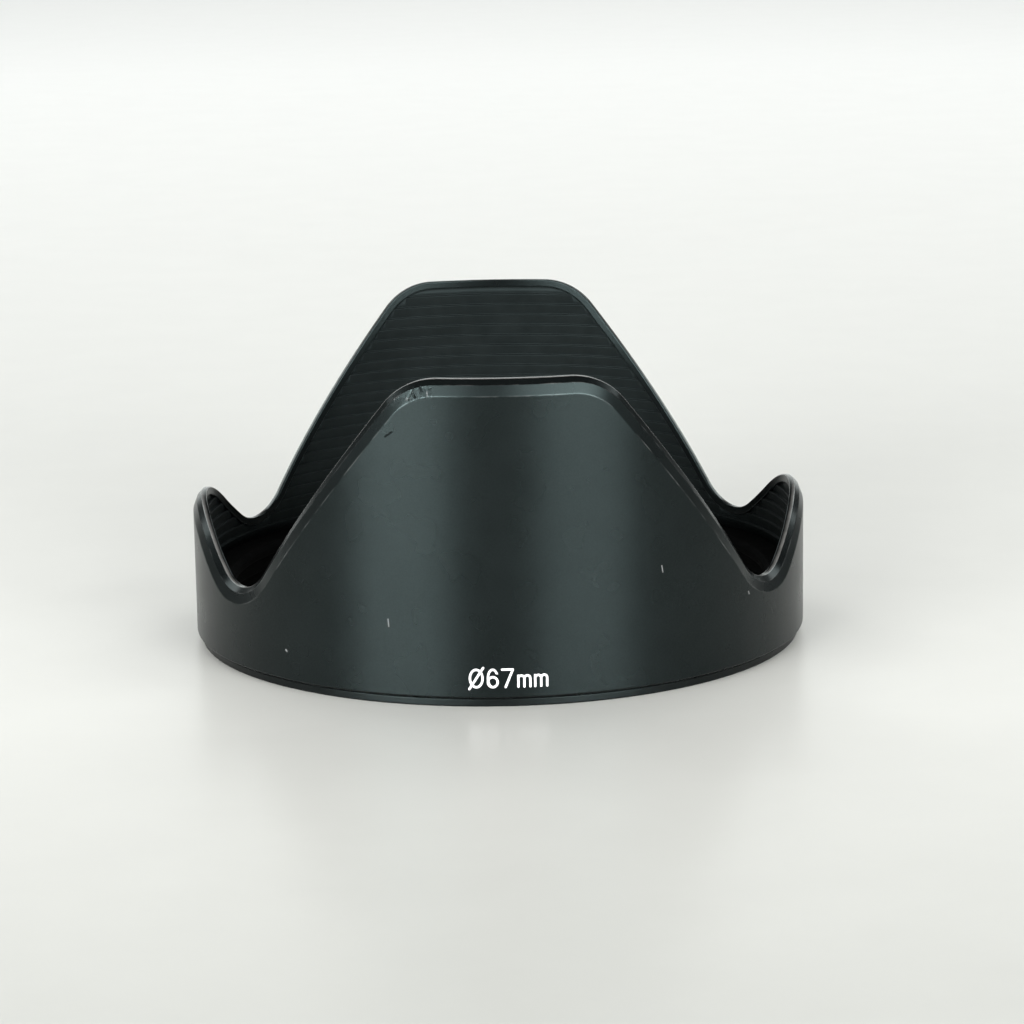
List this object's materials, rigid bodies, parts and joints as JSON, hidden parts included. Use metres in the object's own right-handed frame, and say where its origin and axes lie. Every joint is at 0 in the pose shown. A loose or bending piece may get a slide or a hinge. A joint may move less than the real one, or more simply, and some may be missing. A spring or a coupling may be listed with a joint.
{
  "type": "lens hood",
  "caption": "Petal lens hood: scalloped satin black shell with a bevelled rim, ribbed light-trap liner and a bayonet ring that turns onto a zoom lens",
  "frame": {"origin": "middle of the bayonet end, in the plane that the hood stands on", "axes": "+Z is the optical axis and points at the subject, petals up; the long petals are at -Y, with the printed size, and at +Y; the short petals are at -X and +X"},
  "size_m": [0.08, 0.08, 0.0405],
  "materials": {
    "shell_plastic": "satin moulded black with a fine spark texture",
    "liner_plastic": "dead matt moulded black",
    "ring_plastic": "matt moulded black, slightly greyer than the shell",
    "white_ink": "pad-printed white ink"
  },
  "bodies": {
    "root": {"petal_shell": "shell_plastic", "light_trap_liner": "liner_plastic", "bayonet_ring": "ring_plastic", "figure_sign": "white_ink", "figure_six": "white_ink", "figure_seven": "white_ink", "figure_unit_1": "white_ink", "figure_unit_2": "white_ink", "align_dot": "white_ink", "lock_mark": "white_ink"}
  },
  "joints": []
}
